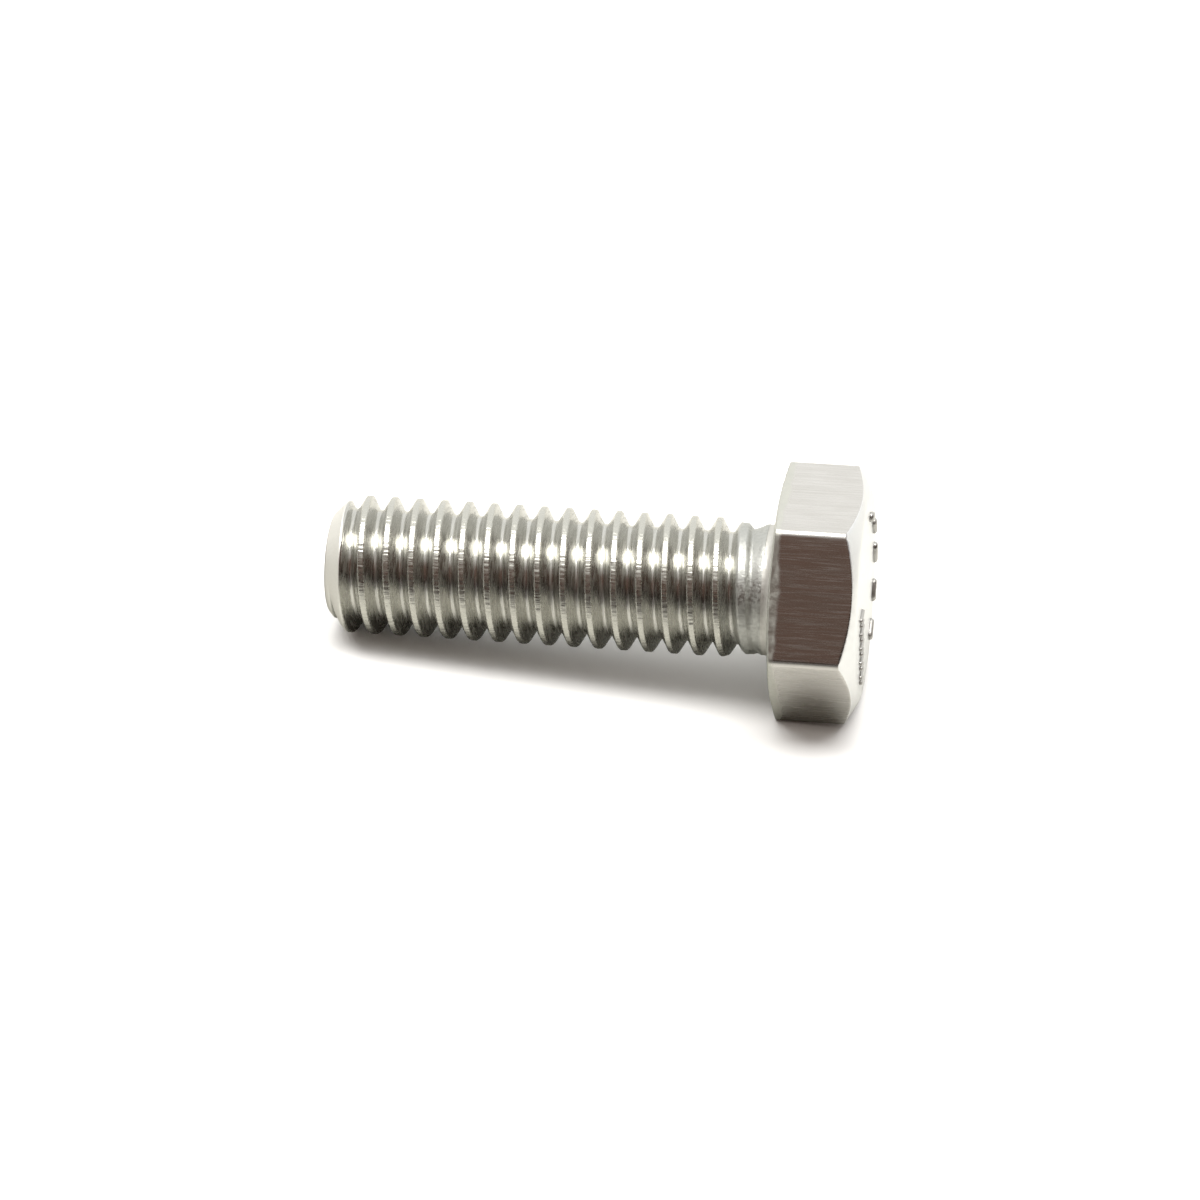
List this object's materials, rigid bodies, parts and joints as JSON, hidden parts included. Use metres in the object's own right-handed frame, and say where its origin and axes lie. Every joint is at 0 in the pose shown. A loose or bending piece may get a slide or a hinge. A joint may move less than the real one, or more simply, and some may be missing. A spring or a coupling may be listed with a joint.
{
  "type": "hex bolt",
  "caption": "Hexagon-head cap screw with a coarse thread that runs up to the head, for clamping parts with a wrench into a nut or a tapped hole.",
  "frame": {"origin": "centre of the flat circle on top of the head", "axes": "+X along the axis, out of the top of the head, so the shank runs towards -X; +Z normal to one wrench flat; +Y from corner to corner"},
  "size_m": [0.03, 0.0144, 0.0126],
  "materials": {
    "stainless_steel": "bare stainless steel: flats brushed along the axis, thread bright from rolling, underside of the head as forged"
  },
  "bodies": {
    "root": {"hex_bolt": "stainless_steel"}
  },
  "joints": []
}
